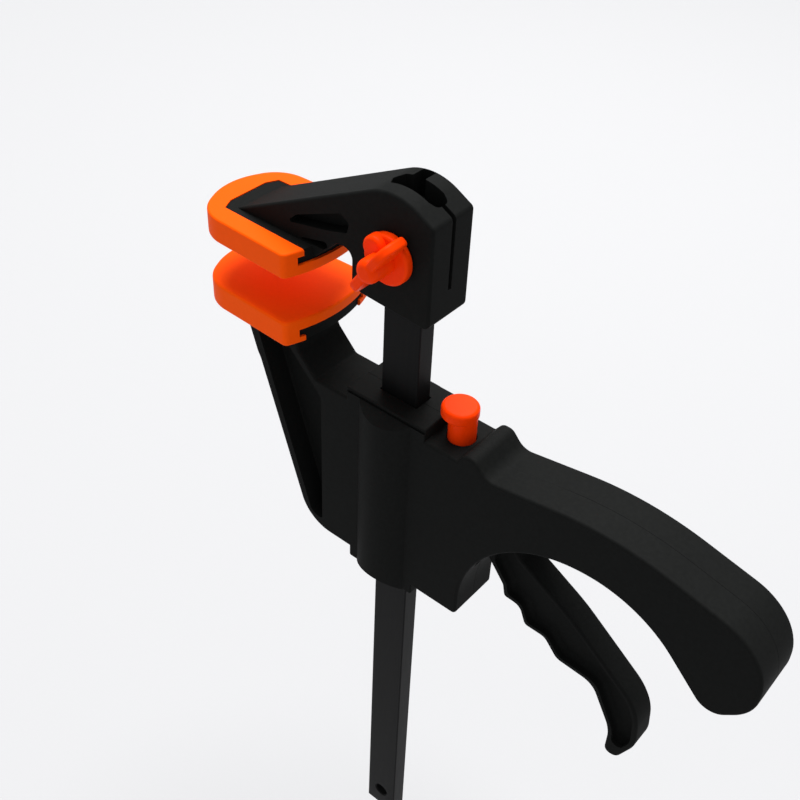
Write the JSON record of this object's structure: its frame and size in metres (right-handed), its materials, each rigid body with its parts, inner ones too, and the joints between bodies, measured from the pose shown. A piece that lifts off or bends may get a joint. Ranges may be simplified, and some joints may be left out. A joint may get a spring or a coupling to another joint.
{
  "type": "quick release bar clamp",
  "caption": "One-handed quick release bar clamp with a pistol-grip body, squeeze trigger, release button and soft pads on its jaws.",
  "frame": {"origin": "middle of the lower pad's gripping face", "axes": "+Z along the bar from the moving jaw to the fixed jaw, +X from the jaws to the handle, +Y across the thickness, away from the lock key"},
  "size_m": [0.1899, 0.0373, 0.2796],
  "materials": {
    "black_nylon": "fine moulded satin",
    "orange_pad": "soft matt",
    "orange_plastic": "satin moulded",
    "black_bar": "black oxide, satin",
    "zinc_steel": "zinc plated",
    "spring_steel": "drawn wire"
  },
  "bodies": {
    "body": {"body_shell_near": "black_nylon", "body_shell_far": "black_nylon", "shell_screws": "zinc_steel", "lower_pad": "orange_pad", "trigger_pin": "zinc_steel", "return_spring": "spring_steel", "brake_spring": "spring_steel"},
    "bar_and_jaw": {"bar": "black_bar", "fixed_jaw": "black_nylon", "upper_pad": "orange_pad", "lock_nut": "zinc_steel"},
    "lock_screw": {"lock_screw": "zinc_steel"},
    "lock_key": {"lock_key": "orange_plastic"},
    "release_button": {"release_button": "orange_plastic"},
    "brake_plate": {"brake_plate": "zinc_steel"},
    "drive_plates": {"drive_plate_upper": "zinc_steel", "drive_plate_lower": "zinc_steel", "spring_washer": "zinc_steel"},
    "trigger": {"trigger": "black_nylon"}
  },
  "joints": [
    {"name": "bar_slide", "type": "slide", "parent": "body", "child": "bar_and_jaw", "axis": [0, 0, 1], "range_m": [-0.0147, 0.1324]},
    {"name": "lock_travel", "type": "slide", "parent": "bar_and_jaw", "child": "lock_screw", "axis": [0, -1, 0], "range_m": [0, 0.0112]},
    {"name": "lock_turn", "type": "hinge", "parent": "lock_screw", "child": "lock_key", "pos_m": [0.04745, -0.0084, 0.0312], "axis": [0, -1, 0], "range_deg": [0, 5040]},
    {"name": "button_press", "type": "slide", "parent": "body", "child": "release_button", "axis": [0, 0, -1], "range_m": [0, 0.0031], "stiffness_N_per_m": 1500, "springref_m": -0.001, "deforming": ["brake_spring"]},
    {"name": "brake_tilt", "type": "hinge", "parent": "body", "child": "brake_plate", "pos_m": [0.03345, 0, -0.0314], "axis": [0, 1, 0], "range_deg": [0, 5.15]},
    {"name": "trigger_squeeze", "type": "hinge", "parent": "body", "child": "trigger", "pos_m": [0.08045, 0, -0.0458], "axis": [0, -1, 0], "range_deg": [0, 22], "stiffness_Nm_per_rad": 0.5, "springref_deg": -14.32},
    {"name": "drive_push", "type": "slide", "parent": "body", "child": "drive_plates", "axis": [0, 0, -1], "range_m": [0, 0.00505], "deforming": ["return_spring"]}
  ],
  "couplings": [
    {"joint": "lock_turn", "follows": "lock_travel", "rad_per_m": 7854},
    {"joint": "brake_tilt", "follows": "button_press", "rad_per_m": 28.95},
    {"joint": "drive_push", "follows": "trigger_squeeze", "m_per_rad": 0.01313}
  ]
}
